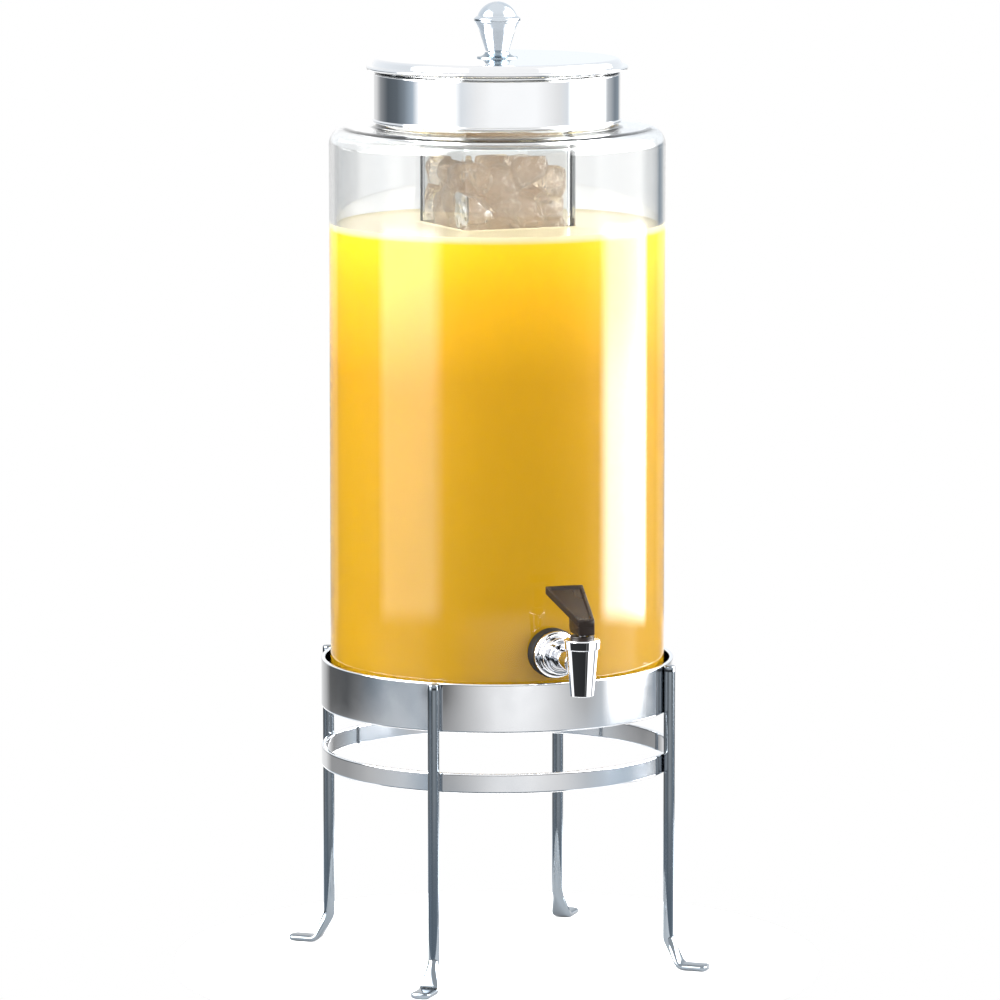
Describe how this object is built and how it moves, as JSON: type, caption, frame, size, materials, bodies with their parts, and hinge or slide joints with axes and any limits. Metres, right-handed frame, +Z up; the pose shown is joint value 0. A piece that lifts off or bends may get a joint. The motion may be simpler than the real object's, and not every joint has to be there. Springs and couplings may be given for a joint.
{
  "type": "beverage dispenser",
  "caption": "Clear cylindrical drink jar with a hanging ice chamber, a lift-off knobbed lid and a spring lever faucet, standing in a round wire stand with splayed feet.",
  "frame": {"origin": "on the jar's axis, on the table plane that the four feet rest on", "axes": "+Z up along the jar's axis; -Y is the way the faucet points; +X is to the right seen from in front of the faucet"},
  "size_m": [0.2226, 0.2813, 0.5928],
  "materials": {
    "stand_metal": "polished plated steel rod and strip",
    "trim_metal": "polished, with fine lengthwise lines",
    "faucet_chrome": "mirror chrome plate",
    "clear_plastic": "clear polished acrylic",
    "juice": "opaque orange drink",
    "ice_clear": "clear cracked ice",
    "black_plastic": "satin moulded",
    "black_rubber": "matt",
    "seal_rubber": "soft silicone",
    "spring_steel": "bright wire"
  },
  "bodies": {
    "stand": {"upper_band": "stand_metal", "lower_ring": "stand_metal", "seat_ring": "stand_metal", "leg_1": "stand_metal", "leg_2": "stand_metal", "leg_3": "stand_metal", "leg_4": "stand_metal"},
    "jar_body": {"jar": "clear_plastic", "neck_collar": "trim_metal", "drink": "juice", "outer_washer": "black_rubber", "inner_washer": "seal_rubber", "shank_nut": "black_plastic", "faucet_plate": "faucet_chrome", "spout": "faucet_chrome", "bonnet": "black_plastic", "valve_spring": "spring_steel"},
    "valve_stem": {"stem": "spring_steel", "seat_cup": "seal_rubber", "lever_pin": "spring_steel"},
    "tap_lever": {"lever": "black_plastic"},
    "ice_chamber": {"chamber_flange": "clear_plastic", "chamber_tube": "clear_plastic", "chamber_floor": "clear_plastic", "ice": "ice_clear"},
    "lid_body": {"lid": "trim_metal", "lid_skirt": "trim_metal", "knob_base": "trim_metal", "knob": "trim_metal", "knob_screw": "spring_steel"}
  },
  "joints": [
    {"name": "jar_lift", "type": "slide", "parent": "stand", "child": "jar_body", "axis": [0, 0, 1], "range_m": [0, 0.05]},
    {"name": "chamber_lift", "type": "slide", "parent": "jar_body", "child": "ice_chamber", "axis": [0, 0, 1], "range_m": [0, 0.365]},
    {"name": "lid_lift", "type": "slide", "parent": "ice_chamber", "child": "lid_body", "axis": [0, 0, 1], "range_m": [0, 0.05]},
    {"name": "stem_lift", "type": "slide", "parent": "jar_body", "child": "valve_stem", "axis": [0, 0, 1], "range_m": [0, 0.0043], "deforming": ["valve_spring"]},
    {"name": "lever_tilt", "type": "hinge", "parent": "valve_stem", "child": "tap_lever", "pos_m": [0, -0.159, 0.2315], "axis": [1, 0, 0], "range_deg": [0, 35], "stiffness_Nm_per_rad": 0.03, "springref_deg": -80.21}
  ],
  "couplings": [
    {"joint": "stem_lift", "follows": "lever_tilt", "m_per_rad": 0.0069}
  ]
}
